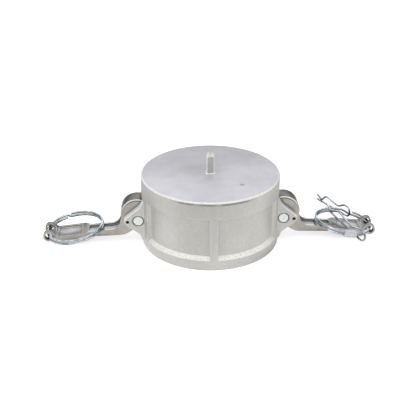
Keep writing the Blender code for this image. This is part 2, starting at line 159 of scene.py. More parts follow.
def makeCastSteel():
    look = castFinish
    material, tree, shader, place = startMaterial("beadBlastedSteel", look["metallic"], look["roughness"])
    cloud = addNode(tree, "TexNoise", {"Vector": place, "Scale": grainScale(look["cloud"]), "Detail": 3})
    patch = addNode(tree, "TexNoise", {"Vector": place, "Scale": grainScale(look["patch"]), "Detail": 4})
    tone = addNode(tree, "Math", (cloud, patch), operation="ADD")
    tone = addNode(tree, "MapRange", (tone, *look["tone"]))
    base = addNode(tree, "Mix", {0: tone, 6: look["shade"], 7: look["colour"]}, data_type="RGBA")
    # The front of the cup is painted a little darker: painted shade
    away = addNode(tree, "VectorMath", (place, inMetres(look["frontShadeAt"])), operation="DISTANCE")
    stainAndShade = addNode(tree, "MapRange", (away, *inMetres(look["frontShadeReach"]), look["frontShadeTone"], 1),
                    interpolation_type="SMOOTHSTEP")
    base = addNode(tree, "VectorMath", {0: base, "Scale": stainAndShade}, operation="SCALE")
    # A thin, uneven grey line just under the top edge, drawn only at the front
    apart = addNode(tree, "SeparateXYZ", (place,))
    seam = addNode(tree, "Math", (apart.outputs["Z"], look["seamAt"] * mm), operation="SUBTRACT")
    seam = addNode(tree, "Math", (seam,), operation="ABSOLUTE")
    seam = addNode(tree, "MapRange", (seam, *inMetres(look["seam"])))
    front = addNode(tree, "MapRange", (apart.outputs["Y"], *inMetres(look["seamFront"])))
    seam = addNode(tree, "Math", (seam, front), operation="MULTIPLY")
    ragged = addNode(tree, "TexNoise", {"Vector": place, "Scale": grainScale(look["seamPatch"]),
                                        "Detail": 3})
    ragged = addNode(tree, "MapRange", (ragged, *look["seamRagged"]))
    seam = addNode(tree, "Math", (seam, ragged), operation="MULTIPLY")
    base = addNode(tree, "Mix", {0: seam, 6: base, 7: look["scale"]}, data_type="RGBA")
    wearAndShade, bump = wearCasting(tree, place, look, base)
    plugIn(tree, shader, {"Base Color": wearAndShade, "Normal": bump})
    return material


# The closed end is faced off on a lathe and then sanded: cooler, flatter and a little brighter
facedFinish = {"colour": "#E3E3E8", "shade": "#D0D0D5", "cloud": 22, "roughness": 0.7, "level": 56.3,
               "groove": 0.9, "grooveShare": 0.25, "grooveDepth": 0.02, "tone": (0.4, 0.85),
               "back": (-30, 50), "backShadeTone": 0.78,
               "tabShadeTone": 0.88, "tabShadeAt": (-8, 8), "tabShadeReach": 24,
               "stainAndShade": "#6A6A6C", "stainAt": (22.6, -24.3), "stainSize": 2.6, "stainPatch": 1.5,
               "stainMost": 1.4}


def makeFacedSteel():
    look = facedFinish
    material, tree, shader, place = startMaterial("facedSteel", 1, look["roughness"])
    cloud = addNode(tree, "TexNoise", {"Vector": place, "Scale": grainScale(look["cloud"]), "Detail": 5,
                                       "Roughness": 0.6})
    radius = addNode(tree, "VectorMath", (place, (1, 1, 0)), operation="MULTIPLY")
    radius = addNode(tree, "VectorMath", (radius,), operation="LENGTH")
    # Lathe grooves are about 0.1 mm apart and are drawn nine times as coarse, so that they show
    groove = addNode(tree, "TexNoise", {"W": radius, "Scale": grainScale(look["groove"]), "Detail": 2},
                     noise_dimensions="1D")
    tone = addNode(tree, "Math", (groove, look["grooveShare"], cloud), operation="MULTIPLY_ADD")
    tone = addNode(tree, "MapRange", (tone, *look["tone"]))
    base = addNode(tree, "Mix", {0: tone, 6: look["shade"], 7: look["colour"]}, data_type="RGBA")
    # The back is painted darker, and so is a patch round the tab: painted shade
    backwards = addNode(tree, "SeparateXYZ", (place,)).outputs["Y"]
    back = addNode(tree, "MapRange", (backwards, *inMetres(look["back"]), 1, look["backShadeTone"]))
    away = addNode(tree, "VectorMath", (place, inMetres((*look["tabShadeAt"], look["level"]))),
                   operation="DISTANCE")
    discShade = addNode(tree, "MapRange", (away, 0, look["tabShadeReach"] * mm, look["tabShadeTone"], 1),
                   interpolation_type="SMOOTHSTEP")
    discShade = addNode(tree, "Math", (discShade, back), operation="MULTIPLY")
    base = addNode(tree, "VectorMath", {0: base, "Scale": discShade}, operation="SCALE")
    # One small ragged stain at the front right
    away = addNode(tree, "VectorMath", (place, inMetres((*look["stainAt"], look["level"]))),
                   operation="DISTANCE")
    stainAndShade = addNode(tree, "MapRange", (away, look["stainSize"] * mm, 0, 0, look["stainMost"]))
    ragged = addNode(tree, "TexNoise", {"Vector": place, "Scale": grainScale(look["stainPatch"])})
    stainAndShade = addNode(tree, "Math", (stainAndShade, ragged), operation="MULTIPLY", use_clamp=True)
    base = addNode(tree, "Mix", {0: stainAndShade, 6: base, 7: look["stainAndShade"]}, data_type="RGBA")
    bump = addNode(tree, "Bump", {"Height": groove, "Distance": look["grooveDepth"] * mm, "Strength": 0.4})
    plugIn(tree, shader, {"Base Color": base, "Normal": bump})
    return material


# Ledges and the rounded top edge missed the last sanding: a whiter, coarser, frosted skin, its whiteness
# partly painted highlight on faces turned up to the light
frostAndHighlightFinish = {"colour": "#FAFAF6", "shade": "#D6D6D1", "patch": 0.8, "detail": 4, "tone": (0.35, 0.6),
               "metallic": 0.35, "roughness": 0.6, "pitDepth": 0.12,
               "paintedShadeAndHighlight": "#CFCDC8", "paintedShadeAt": (40, 60)}


def makeFrostAndHighlight():
    look = frostAndHighlightFinish
    material, tree, shader, place = startMaterial("frostedSkinAndHighlight", look["metallic"], look["roughness"])
    pit, base = mottle(tree, place, look)
    # Towards the right-hand lever the skin is painted darker, close to plain casting: painted shade
    rightwards = addNode(tree, "SeparateXYZ", (place,)).outputs["X"]
    wearAndShade = addNode(tree, "MapRange", (rightwards, *inMetres(look["paintedShadeAt"])))
    base = addNode(tree, "Mix", {0: wearAndShade, 6: base, 7: look["paintedShadeAndHighlight"]}, data_type="RGBA")
    bump = addNode(tree, "Bump", {"Height": pit, "Distance": look["pitDepth"] * mm, "Strength": 0.6})
    plugIn(tree, shader, {"Base Color": base, "Normal": bump})
    return material


# Tops of the ears, tumbled smooth: a cooler grey painted lighter than the casting, as painted light,
# and nearly white along the outer edge, a painted highlight
shelfFinish = {"colour": "#DEDFE2", "shade": "#C9CACD", "patch": 3, "detail": 3, "tone": (0, 1),
               "metallic": 0.4, "roughness": 0.45, "lift": 1.4, "paintedLightAcross": (-50, 50),
               "paintedShadeAndHighlight": "#F6F6F2", "paintedHighlightFrom": (12.6, 13.6), "paintedHighlightUpTo": (38, 34)}


def makeEarTopsPaintedLight():
    look = shelfFinish
    material, tree, shader, place = startMaterial("earTopsPaintedLight", look["metallic"], look["roughness"])
    _, base = mottle(tree, place, look)
    apart = addNode(tree, "SeparateXYZ", (place,))
    # The left-hand ears are painted lighter than the right-hand ones: painted light
    lift = addNode(tree, "MapRange", (apart.outputs["X"], *inMetres(look["paintedLightAcross"]), look["lift"], 1))
    base = addNode(tree, "VectorMath", {0: base, "Scale": lift}, operation="SCALE")
    # Nearly white along the outer edge, low on the ear: a painted highlight
    outwards = addNode(tree, "Math", (apart.outputs["Y"],), operation="ABSOLUTE")
    paintedShadeAndHighlight = addNode(tree, "MapRange", (outwards, *inMetres(look["paintedHighlightFrom"])))
    below = addNode(tree, "MapRange", (apart.outputs["Z"], *inMetres(look["paintedHighlightUpTo"])))
    paintedShadeAndHighlight = addNode(tree, "Math", (paintedShadeAndHighlight, below), operation="MULTIPLY")
    base = addNode(tree, "Mix", {0: paintedShadeAndHighlight, 6: base, 7: look["paintedShadeAndHighlight"]}, data_type="RGBA")
    plugIn(tree, shader, {"Base Color": base})
    return material


# Tumbled casting of the levers: the flanks stay matt and are painted a darker beige than the tops, and the
# middle strip along the channel a darker grey, all painted shade; the edges are bright, the hollows are
# darkened with painted shade, and the cam's crown is a darker grey
leverFinish = {"flank": "#B1ABA3", "flankFrom": (0.55, 0.85), "top": "#D6D4D1", "roughness": 0.28,
               "trough": "#B4B5B7", "troughAt": (4.3, 3.9), "gripTop": "#918F8C", "gripFrom": (95, 97),
               "pocketHighlightColour": "#B4B4B8", "pocketHighlightAt": (111, 3.2), "pocketHighlightHalf": (10.5, 6),
               "pocketHighlightFade": (1.15, 0.6),
               "crownGrey": "#737577", "camAt": (57.2, 24.1), "crown": (13.2, 13.8),
               "patch": 6, "patchRange": (0.3, 0.7), "patchTone": (0.82, 1.1),
               "paintedEdgeLines": ((11.45, "dirtAndShade", 0.8), (12.45, "edge", 1)), "ringHalf": (0.6, 0.3),
               "ringAbove": (28, 34), "ringBeside": (0.1, 0.3),
               "edge": "#F4F3F0", "rounding": 0.6, "wornTurn": (0.99, 0.9), "wornMost": 0.8,
               "spared": (-1, 0),  # nothing is spared, so an edge is rubbed bright in a hollow too
               "dirtAndShade": "#4F4B47", "hollowReach": 2, "shut": (0.8, 0.35), "dirtAndShadeMost": 0.75,
               "grit": 1.0, "gritDepth": 0.06, "gritStrength": 0.5}


def makeTumbledCasting():
    look = leverFinish
    material, tree, shader, place = startMaterial("tumbledCasting", 1, look["roughness"])
    facing = addNode(tree, "SeparateXYZ", (addNode(tree, "NewGeometry").outputs["Normal"],))
    sideways = addNode(tree, "Math", (facing.outputs["Y"],), operation="ABSOLUTE")
    flank = addNode(tree, "MapRange", (sideways, *look["flankFrom"]))
    apart = addNode(tree, "SeparateXYZ", (place,))
    outwards = addNode(tree, "Math", (apart.outputs["X"],), operation="ABSOLUTE")
    aside = addNode(tree, "Math", (apart.outputs["Y"],), operation="ABSOLUTE")
    trough = addNode(tree, "MapRange", (aside, *inMetres(look["troughAt"])))
    grip = addNode(tree, "MapRange", (outwards, *inMetres(look["gripFrom"])))
    across = addNode(tree, "CombineXYZ", {"X": outwards, "Z": apart.outputs["Z"]})
    camCentre = inMetres((look["camAt"][0], 0, look["camAt"][1]))
    fromCam = addNode(tree, "VectorMath", (across, camCentre), operation="DISTANCE")
    # The cam's crown is given a darker grey
    crown = addNode(tree, "MapRange", (fromCam, *inMetres(look["crown"]), 1, 0))
    # An oval towards the back of the grip's pocket is painted lighter: a painted highlight
    pocketHighlight = addNode(tree, "CombineXYZ", {"X": outwards, "Y": apart.outputs["Y"]})
    pocketHighlight = addNode(tree, "VectorMath", (pocketHighlight, inMetres((*look["pocketHighlightAt"], 0))), operation="SUBTRACT")
    pocketHighlight = addNode(tree, "VectorMath", (pocketHighlight, inMetres((*look["pocketHighlightHalf"], 1))), operation="DIVIDE")
    pocketHighlight = addNode(tree, "VectorMath", (pocketHighlight,), operation="LENGTH")
    pocketHighlight = addNode(tree, "MapRange", (pocketHighlight, *look["pocketHighlightFade"]))
    # The flanks are painted a darker beige than the tops, and the channel's middle strip darker: painted
    # shade
    base = look["top"]
    for mask, colour in ((trough, "trough"), (grip, "gripTop"), (pocketHighlight, "pocketHighlightColour"), (crown, "crownGrey"),
                         (flank, "flank")):
        base = addNode(tree, "Mix", {0: mask, 6: base, 7: look[colour]}, data_type="RGBA")
    patch = addNode(tree, "TexNoise", {"Vector": place, "Scale": grainScale(look["patch"]), "Detail": 4})
    tone = addNode(tree, "MapRange", (patch, *look["patchRange"], *look["patchTone"]))
    base = addNode(tree, "VectorMath", {0: base, "Scale": tone}, operation="SCALE")
    # High on its sides the cam's edge carries a painted highlight line, with a line of painted shade inside
    # it
    beside = addNode(tree, "MapRange", (sideways, *look["ringBeside"]))
    above = addNode(tree, "MapRange", (apart.outputs["Z"], *inMetres(look["ringAbove"])))
    beside = addNode(tree, "Math", (beside, above), operation="MULTIPLY")
    for radius, colour, strength in look["paintedEdgeLines"]:
        line = addNode(tree, "Math", (fromCam, radius * mm), operation="SUBTRACT")
        line = addNode(tree, "Math", (line,), operation="ABSOLUTE")
        line = addNode(tree, "MapRange", (line, *inMetres(look["ringHalf"]), 0, strength))
        line = addNode(tree, "Math", (line, beside), operation="MULTIPLY")
        base = addNode(tree, "Mix", {0: line, 6: base, 7: look[colour]}, data_type="RGBA")
    wearAndShade, bump = wearCasting(tree, place, look, base)
    plugIn(tree, shader, {"Base Color": wearAndShade, "Normal": bump})
    return material


# Bright zinc-plated spring wire: bluish, glossy, with duller patches along it
wireFinish = {"colour": "#DAE1E6", "shade": "#8C99A3", "patch": 6, "detail": 4, "tone": (0.35, 0.65),
              "roughness": (0.08, 0.16), "gap": "#3F4950", "gapReach": 1.0, "gapShut": (0.85, 0.45),
              "gapMost": 0.9}


def makePlatedWire():
    look = wireFinish
    material, tree, shader, place = startMaterial("zincPlatedWire", 1, look["roughness"][0])
    cloud, base = mottle(tree, place, look)
    # Painted shade where two wires lie side by side
    hollow = addNode(tree, "AmbientOcclusion", {"Distance": look["gapReach"] * mm}, samples=6)
    shut = addNode(tree, "MapRange", (hollow.outputs["AO"], *look["gapShut"], 0, look["gapMost"]))
    base = addNode(tree, "Mix", {0: shut, 6: base, 7: look["gap"]}, data_type="RGBA")
    rough = addNode(tree, "MapRange", (cloud, 0, 1, *look["roughness"]))
    plugIn(tree, shader, {"Base Color": base, "Roughness": rough})
    return material


# Cut and faced pin ends: nearly white, with a few tool marks
pinFinish = {"colour": "#E6EAE9", "shade": "#B9C0C1", "fleck": 1.1, "fleckDepth": 0.05,
             "tone": (0.12, 0.4), "roughness": 0.35}


def makePinSteel():
    look = pinFinish
    material, tree, shader, place = startMaterial("croppedPinSteel", 1, look["roughness"])
    fleck = addNode(tree, "TexVoronoi", {"Vector": place, "Scale": grainScale(look["fleck"])})
    tone = addNode(tree, "MapRange", (fleck, *look["tone"]))
    base = addNode(tree, "Mix", {0: tone, 6: look["shade"], 7: look["colour"]}, data_type="RGBA")
    bump = addNode(tree, "Bump", {"Height": fleck, "Distance": look["fleckDepth"] * mm, "Strength": 0.4})
    plugIn(tree, shader, {"Base Color": base, "Normal": bump})
    return material


# Soft aluminium crimp: pale, matt, with the rows of dents that the crimping jaw leaves
crimpFinish = {"colour": "#E4E5E9", "dent": "#9B9CA3", "pitch": (1.3, 1.5), "depth": 0.25,
               "tone": (0.2, 1.3), "roughness": 0.45}


def makeCrimpedAluminium():
    look = crimpFinish
    material, tree, shader, _ = startMaterial("crimpedAluminium", 1, look["roughness"])
    unwrapped = addNode(tree, "TexCoord").outputs["UV"]  # millimetres along and round the sleeve
    apart = addNode(tree, "SeparateXYZ", (unwrapped,))
    waves = []
    for axis, pitch in zip("XY", look["pitch"]):
        wave = addNode(tree, "Math", (apart.outputs[axis], tau / pitch), operation="MULTIPLY")
        waves.append(addNode(tree, "Math", (wave,), operation="COSINE"))
    dent = addNode(tree, "Math", waves, operation="ADD")
    dent = addNode(tree, "MapRange", (dent, *look["tone"]))
    # The dents are painted darker as well: painted shade
    base = addNode(tree, "Mix", {0: dent, 6: look["colour"], 7: look["dent"]}, data_type="RGBA")
    bump = addNode(tree, "Bump", {"Height": dent, "Distance": look["depth"] * mm, "Strength": 0.8},
                   invert=True)
    plugIn(tree, shader, {"Base Color": base, "Normal": bump})
    return material


# Moulded nitrile rubber: black under pale dust, a dull sheen
rubberFinish = {"colour": "#3A3936", "shade": "#1E1E1F", "patch": 4, "detail": 5, "tone": (0.45, 0.75),
                "dustDepth": 0.05, "roughness": 0.62}


def makeMouldedRubber():
    look = rubberFinish
    material, tree, shader, place = startMaterial("mouldedNitrile", 0, look["roughness"])
    dust, base = mottle(tree, place, look)
    bump = addNode(tree, "Bump", {"Height": dust, "Distance": look["dustDepth"] * mm, "Strength": 0.5})
    plugIn(tree, shader, {"Base Color": base, "Normal": bump})
    return material


finishes = {"cast": makeCastSteel(), "faced": makeFacedSteel(), "frostAndHighlight": makeFrostAndHighlight(),
            "shelf": makeEarTopsPaintedLight(), "lever": makeTumbledCasting(), "wire": makePlatedWire(),
            "pin": makePinSteel(), "crimp": makeCrimpedAluminium(), "rubber": makeMouldedRubber()}
print("finishes mixed")


# Small helpers for shapes, all in millimetres until a piece is finished

def arcPoints(centre, radius, start, end, steps):
    turns = [radians(start + (end - start) * k / steps) for k in range(steps + 1)]
    return [(centre[0] + radius * cos(a), centre[1] + radius * sin(a)) for a in turns]


def smoothThrough(knots, perSpan):
    ends = [knots[0], *knots, knots[-1]]
    line = []
    for k in range(1, len(ends) - 2):
        a, b, c, d = (Vector(ends[k + step]) for step in (-1, 0, 1, 2))
        for step in range(perSpan):
            t = step / perSpan
            line.append(0.5 * (2 * b + (c - a) * t + (2 * a - 5 * b + 4 * c - d) * t * t
                               + (3 * b - a - 3 * c + d) * t ** 3))
    return [tuple(p) for p in line] + [tuple(ends[-2])]


def roundedPlan(x0, x1, half, corner):
    return (arcPoints((x1 - corner, half - corner), corner, 0, 90, 6)
            + arcPoints((x0 + corner, half - corner), corner, 90, 180, 6)
            + arcPoints((x0 + corner, corner - half), corner, 180, 270, 6)
            + arcPoints((x1 - corner, corner - half), corner, 270, 360, 6))


def ofKind(kind, result):
    return [item for item in result["geom"] if isinstance(item, kind)]


def roundEdges(bm, edges, offset, segments):
    bmesh.ops.bevel(bm, geom=edges, offset=offset, segments=segments, profile=0.5, affect="EDGES",
                    material=-1, clamp_overlap=True)


def spinRound(bm, geom, angle, steps):
    bmesh.ops.spin(bm, geom=geom, cent=(0, 0, 0), axis=(0, 0, 1), dvec=(0, 0, 0), angle=angle, steps=steps,
                   use_merge=angle == tau)
    bmesh.ops.remove_doubles(bm, verts=bm.verts, dist=1e-4)


def leaveTwin(bm, faces):
    twin = bmesh.ops.duplicate(bm, geom=faces)
    bmesh.ops.reverse_faces(bm, faces=ofKind(BMFace, twin))


def spunShape(profile, steps):
    bm = bmesh.new()
    corners = [bm.verts.new((r, 0, z)) for r, z in profile]
    loop = [bm.edges.new(pair) for pair in zip(corners, corners[1:] + corners[:1])]
    spinRound(bm, corners + loop, tau, steps)
    bmesh.ops.dissolve_degenerate(bm, edges=bm.edges, dist=1e-5)
    bmesh.ops.delete(bm, geom=[edge for edge in bm.edges if not edge.link_faces], context="EDGES")
    bmesh.ops.recalc_face_normals(bm, faces=bm.faces)
    return bm


def sweptBlock(profile, start, angle, steps):
    bm = bmesh.new()
    face = bm.faces.new([bm.verts.new((r * cos(start), r * sin(start), z)) for r, z in profile])
    leaveTwin(bm, [face])
    spinRound(bm, [*face.verts, *face.edges, face], angle, steps)
    bmesh.ops.recalc_face_normals(bm, faces=bm.faces)
    return bm


def pulledBlock(corners, pull):
    bm = bmesh.new()
    face = bm.faces.new([bm.verts.new(corner) for corner in corners])
    grown = bmesh.ops.extrude_face_region(bm, geom=[face])
    bmesh.ops.translate(bm, vec=pull, verts=ofKind(BMVert, grown))
    bmesh.ops.recalc_face_normals(bm, faces=bm.faces)
    return bm


def sideBlock(outline, near, far):
    return pulledBlock([(x, near, z) for x, z in outline], (0, far - near, 0))


def planBlock(outline, low, high):
    return pulledBlock([(x, y, low) for x, y in outline], (0, 0, high - low))


def crossBar(centre, radius, half, sides=48):
    bm = bmesh.new()
    bmesh.ops.create_cone(bm, cap_ends=True, segments=sides, radius1=radius, radius2=radius, depth=2 * half)
    bmesh.ops.rotate(bm, matrix=Matrix.Rotation(pi / 2, 3, "X"), verts=bm.verts)
    bmesh.ops.translate(bm, vec=(centre[0], 0, centre[1]), verts=bm.verts)
    return bm


def halfTurn(bm, side):
    if side == "left":
        bmesh.ops.rotate(bm, matrix=Matrix.Rotation(pi, 3, "Z"), verts=bm.verts)
    return bm


def meshObject(bm, name):
    mesh = bpy.data.meshes.new(name)
    bm.to_mesh(mesh)
    bm.free()
    item = bpy.data.objects.new(name, mesh)
    scene.collection.objects.link(item)
    return item


def carved(start, tools):
    items = [meshObject(bm, "blank") for bm in [start, *[tool for _, tool in tools]]]
    for (operation, _), tool in zip(tools, items[1:]):
        modifier = items[0].modifiers.new(operation, "BOOLEAN")
        modifier.operation = operation
        modifier.solver = "EXACT"
        modifier.object = tool
    seen = items[0].evaluated_get(bpy.context.evaluated_depsgraph_get())
    result = bmesh.new()
    result.from_mesh(seen.to_mesh())
    seen.to_mesh_clear()
    for item in items:
        mesh = item.data
        bpy.data.objects.remove(item)
        bpy.data.meshes.remove(mesh)
    bmesh.ops.remove_doubles(result, verts=result.verts, dist=1e-4)
    return result


def drawnWire(points, diameter):
    line = [Vector(p) for p in points]
    last = len(line) - 1
    ways = [(line[min(k + 1, last)] - line[max(k - 1, 0)]).normalized() for k in range(last + 1)]
    bm = bmesh.new()
    bmesh.ops.create_circle(bm, cap_ends=True, radius=diameter / 2, segments=16)
    bmesh.ops.transform(bm, verts=bm.verts, matrix=Matrix.Translation(line[0])
                        @ Vector((0, 0, 1)).rotation_difference(ways[0]).to_matrix().to_4x4())
    firstRim = bm.edges[:]
    rim = firstRim
    for k in range(1, last + 1):
        grown = bmesh.ops.extrude_edge_only(bm, edges=rim)
        move = (Matrix.Translation(line[k]) @ ways[k - 1].rotation_difference(ways[k]).to_matrix().to_4x4()
                @ Matrix.Translation(-line[k - 1]))
        fresh = ofKind(BMVert, grown)
        bmesh.ops.transform(bm, verts=fresh, matrix=move)
        rim = [edge for edge in ofKind(BMEdge, grown) if all(vert in fresh for vert in edge.verts)]
    bmesh.ops.contextual_create(bm, geom=rim)
    bmesh.ops.recalc_face_normals(bm, faces=bm.faces)
    roundEdges(bm, firstRim + rim, 0.3, 2)
    return bm


def finishPiece(bm, name, looks, node, body, sharp=30):
    bmesh.ops.scale(bm, vec=(mm, mm, mm), verts=bm.verts)
    piece = meshObject(bm, name)
    piece.data.shade_smooth()
    piece.data.set_sharp_from_angle(angle=radians(sharp))
    for look in looks:
        piece.data.materials.append(finishes[look])
    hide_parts(node)
    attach(piece, body)
    return piece


# Cast cup: one spun wall and closed end, with a tab, four ears, four sunken panels and two windows
cup = {"height": 56.3, "bore": 46.1, "band": 53.7, "panel": 51.1, "topEdge": 1.6, "mouthEdge": 0.7,
       "mouthChamfer": 1.6, "seat": 50.8, "grooveFloor": 43.85, "groove": 47.5, "steps": 144,
       "endRings": (0, 12, 30), "lip": 1.04}
panels = {"ledge": 11.1, "rise": 2.8, "top": 41.6, "slope": 0.8, "rib": 5.9, "end": radians(66),
          "steps": 28, "corner": 0.7, "cove": 2.4}
tab = {"width": 6.2, "depth": 8, "height": 16, "edge": 2.2, "foot": 0.9}
pivot = {"out": 56.4, "up": 22.1, "hole": 8.5, "clipHole": (8.2, -0.8), "clipBore": 2.7}
ears = {"inner": 6.6, "outer": 14.4, "root": -6.3, "head": 18, "foot": -19, "tip": 3, "edge": 0.5,
        "top": ((-3.1, 14.6), (-1.1, 11.0), (3.7, 6.8)),
        "under": ((5.2, -7.2), (1.2, -10.0), (-1.6, -13.0), (-2.6, -16.2)), "sink": 0.8, "sinkStep": 0.35}
cam = {"centre": (0.8, 2.0), "radius": 12.9, "flat": -9.6}


def castTab():
    wide, deep, foot, low = tab["width"] / 2, tab["depth"] / 2, tab["foot"], cup["height"]
    crown = low + tab["height"] - deep
    levels = [(wide + foot, deep + foot, low)]
    for turn in (radians(18 * k) for k in range(1, 6)):
        spread = foot * (1 - sin(turn))
        levels.append((wide + spread, deep + spread, low + foot * (1 - cos(turn))))
    for turn in (radians(10 * k) for k in range(9)):
        levels.append((wide * cos(turn) ** 0.8, deep * cos(turn), crown + deep * sin(turn)))
    bm = planBlock(roundedPlan(-wide - foot, wide + foot, deep + foot, tab["edge"]), low - 1, low)
    face = max(bm.faces, key=lambda item: item.calc_center_median().z)
    for before, after in zip(levels, levels[1:]):
        grown = bmesh.ops.extrude_face_region(bm, geom=[face])
        bmesh.ops.delete(bm, geom=[face], context="FACES_ONLY")
        face = ofKind(BMFace, grown)[0]
        bmesh.ops.scale(bm, vec=(after[0] / before[0], after[1] / before[1], 1), verts=face.verts)
        bmesh.ops.translate(bm, vec=(0, 0, after[2] - before[2]), verts=face.verts)
    bmesh.ops.recalc_face_normals(bm, faces=bm.faces)
    return bm


def castEar(near):
    tip = arcPoints(pivot["clipHole"], ears["tip"], 48, -62, 12)
    upper = smoothThrough([(ears["root"], ears["head"]), *ears["top"], tip[0]], 3)
    lower = smoothThrough([tip[-1], *ears["under"], (ears["root"], ears["foot"])], 3)
    outline = [(pivot["out"] + u, pivot["up"] + w) for u, w in upper + tip[1:-1] + lower]
    bm = sideBlock(outline, near, near + ears["outer"] - ears["inner"])
    rims = [edge for edge in bm.edges if abs(edge.verts[0].co.y - edge.verts[1].co.y) < 1e-4]
    roundEdges(bm, rims, ears["edge"], 3)
    return bm


def innerCreases(bm):
    return [edge for edge in bm.edges if all(hypot(v.co.x, v.co.y) < cup["panel"] + 0.1 for v in edge.verts)
            and edge.calc_face_angle(0) > radians(30)]


def sunkenPanel(middle, side):
    halfRib = asin(panels["rib"] / 2 / cup["band"])
    start = middle + halfRib if side == "right" else middle - panels["end"]
    outside, depth = cup["band"] + past, cup["band"] - cup["panel"]
    fall = (outside - cup["panel"]) * panels["rise"] / depth
    climb = (outside - cup["panel"]) * panels["slope"] / depth
    bm = sweptBlock([(cup["panel"], panels["ledge"]), (outside, panels["ledge"] - fall),
                     (outside, panels["top"] + climb), (cup["panel"], panels["top"])],
                    start, panels["end"] - halfRib, panels["steps"])
    # The upright crease beside the ear is a wide cove, the others are tight corners
    earEnd = start + panels["end"] - halfRib if side == "right" else start
    upright = [edge for edge in innerCreases(bm)
               if all(abs(v.co.x * sin(earEnd) - v.co.y * cos(earEnd)) < 0.01 for v in edge.verts)]
    roundEdges(bm, upright, panels["cove"], 6)
    roundEdges(bm, innerCreases(bm), panels["corner"], 3)
    return bm


# The turned faces, the frosted ledges, lip and tab, and the ears' tops each have a finish of their own;
# the frosted faces and the ears' tops are lighter copies of the casting, partly painted highlight
def skinOf(face):
    middle, normal, top = face.calc_center_median(), face.normal, cup["height"]
    out, up = hypot(middle.x, middle.y), middle.z
    end = abs(up - top) < 0.05 and normal.z > 0.9
    turned = out < cup["groove"] + 0.1 and up < top - 0.1
    if end or turned:
        return "faced"
    ledge = 0.3 < normal.z < 0.9 and up < panels["ledge"] + 0.3 and out > cup["panel"] - 0.3
    lip = up > top - cup["lip"] and cup["band"] - cup["topEdge"] < out < cup["band"] + 0.1
    onTab = up > top + 0.05 and (abs(normal.x) > 0.45 or normal.z > 0.2 and up < top + tab["foot"])
    if ledge or lip or onTab:
        return "frostAndHighlight"
    onEar = ears["inner"] < abs(middle.y) < ears["outer"] and out > cup["band"] and up > pivot["up"]
    return "shelf" if onEar and normal.z > 0.2 else "cast"


def makeCup():
    top, edge, lip = cup["height"], cup["topEdge"], cup["mouthEdge"]
    profile = ([(radius, top) for radius in cup["endRings"]]
               + arcPoints((cup["band"] - edge, top - edge), edge, 90, 0, 6)
               + arcPoints((cup["band"] - lip, lip), lip, 0, -90, 4)
               + [(cup["bore"] + cup["mouthChamfer"], 0), (cup["bore"], cup["mouthChamfer"]),
                  (cup["bore"], cup["grooveFloor"]), (cup["groove"], cup["grooveFloor"]),
                  (cup["groove"], cup["seat"]), (0, cup["seat"])])
    tools = [("UNION", castTab())]
    for side in ("right", "left"):
        for near in (-ears["outer"], ears["inner"]):
            tools.append(("UNION", halfTurn(castEar(near), side)))
    for middle in (-pi / 2, pi / 2):
        for side in ("right", "left"):
            tools.append(("DIFFERENCE", sunkenPanel(middle, side)))
    low = pivot["up"] + cam["centre"][0] - cam["radius"] - 2 * fit
    high = pivot["up"] + hypot(*cam["centre"]) + cam["radius"] + 2 * fit
    at = (pivot["out"], pivot["up"])
    hole = (at[0] + pivot["clipHole"][0], at[1] + pivot["clipHole"][1])
    for side in ("right", "left"):
        window = [(cup["bore"] - past, low), (at[0], low), (at[0], high), (cup["bore"] - past, high)]
        cuts = [sideBlock(window, -ears["inner"], ears["inner"]),
                crossBar(at, pivot["hole"] / 2, ears["outer"] + past),
                crossBar(hole, pivot["clipBore"] / 2, ears["outer"] + past, 24)]
        for y in (-ears["outer"], ears["outer"]):
            sink = crossBar(at, pivot["hole"] / 2 + ears["sinkStep"], ears["sink"])
            bmesh.ops.translate(sink, vec=(0, y, 0), verts=sink.verts)
            cuts.append(sink)
        tools += [("DIFFERENCE", halfTurn(cut, side)) for cut in cuts]
    bm = carved(spunShape(profile, cup["steps"]), tools)
    skins = ["cast", "faced", "frostAndHighlight", "shelf"]
    for face in bm.faces:
        face.material_index = skins.index(skinOf(face))
    return finishPiece(bm, "castCup", skins, "cap_body", "cap")


makeCup()
print("cup cast")

# Gasket: moulded ring with rounded corners and three sealing beads on the face that the adapter meets
seal = {"inner": 38.1, "outer": 47.2, "bottom": 44.15, "top": 50.5, "corner": 0.8, "beads": 3, "bead": 0.45}


def makeGasket():
    r = seal["corner"]
    floor = []
    for k in range(seal["beads"]):
        at = seal["inner"] + (seal["outer"] - seal["inner"]) * (k + 1) / (seal["beads"] + 1)
        floor += [(at + seal["bead"] * cos(a), seal["bottom"] + seal["bead"] * (1 - abs(sin(a)) ** 0.5))
                  for a in (radians(180 + 30 * s) for s in range(7))]
    lift = seal["bottom"] + seal["bead"]
    profile = (arcPoints((seal["outer"] - r, seal["top"] - r), r, 0, 90, 4)
               + arcPoints((seal["inner"] + r, seal["top"] - r), r, 90, 180, 4)
               + arcPoints((seal["inner"] + r, lift + r), r, 180, 270, 4) + floor
               + arcPoints((seal["outer"] - r, lift + r), r, 270, 360, 4))
    return finishPiece(spunShape(profile, 96), "sealingRing", ["rubber"], "gasket", "cap")


makeGasket()
print("gasket moulded")

